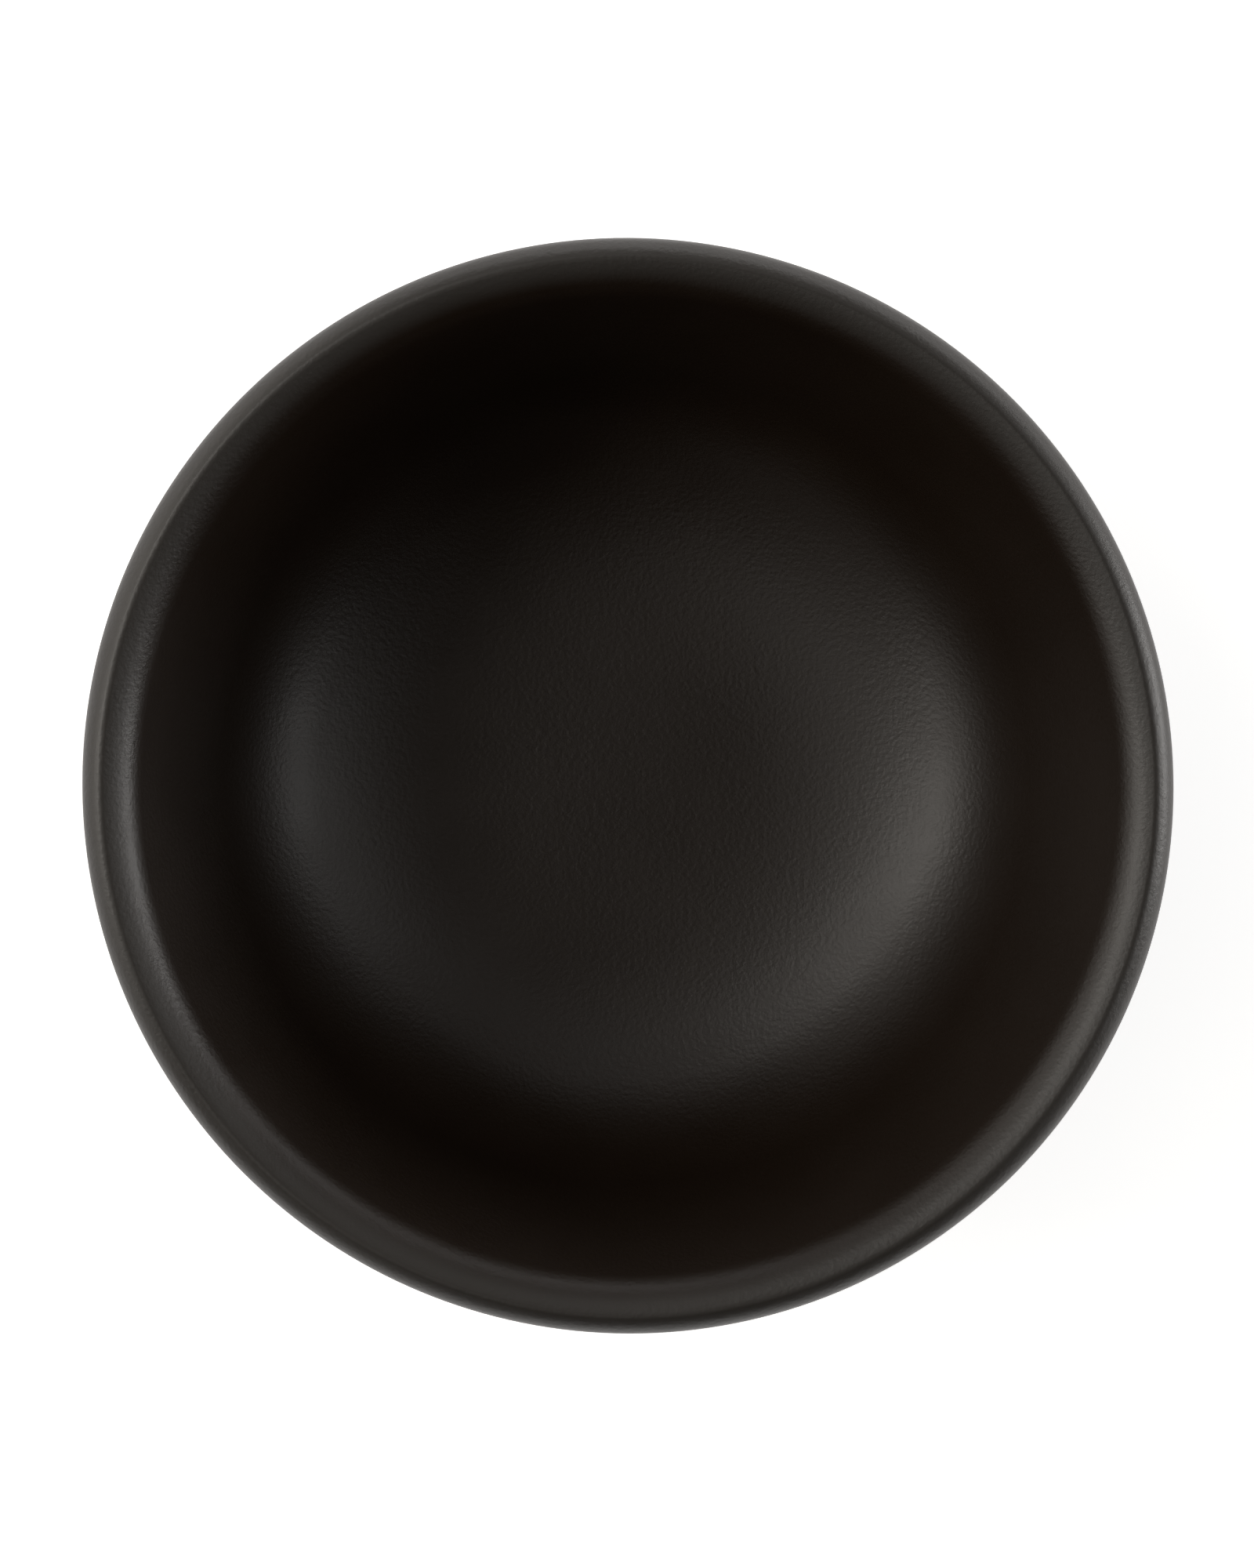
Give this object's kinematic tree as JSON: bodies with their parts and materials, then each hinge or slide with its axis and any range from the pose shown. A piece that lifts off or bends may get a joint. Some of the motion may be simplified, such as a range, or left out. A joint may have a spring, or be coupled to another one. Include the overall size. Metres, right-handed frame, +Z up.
{
  "type": "shallow porcelain bowl",
  "caption": "Small round porcelain bowl with a softly dished floor, rounded corner, plain flared wall, soft rounded lip and turned foot ring, under satin-matt black glaze.",
  "frame": {"origin": "on the standing plane of the foot ring, under the middle of the bowl", "axes": "+Z up along the axis of the bowl; the bowl is round, so +X and +Y are any two directions across it"},
  "size_m": [0.09, 0.09, 0.035],
  "materials": {
    "bare_porcelain": "unglazed off-white fired porcelain, fine matt grain",
    "black_glaze": "satin-matt warm black glaze with a fine even grain"
  },
  "bodies": {
    "root": {"porcelain_body": "bare_porcelain", "glaze_coat": "black_glaze", "foot_well_glaze": "black_glaze"}
  },
  "joints": []
}
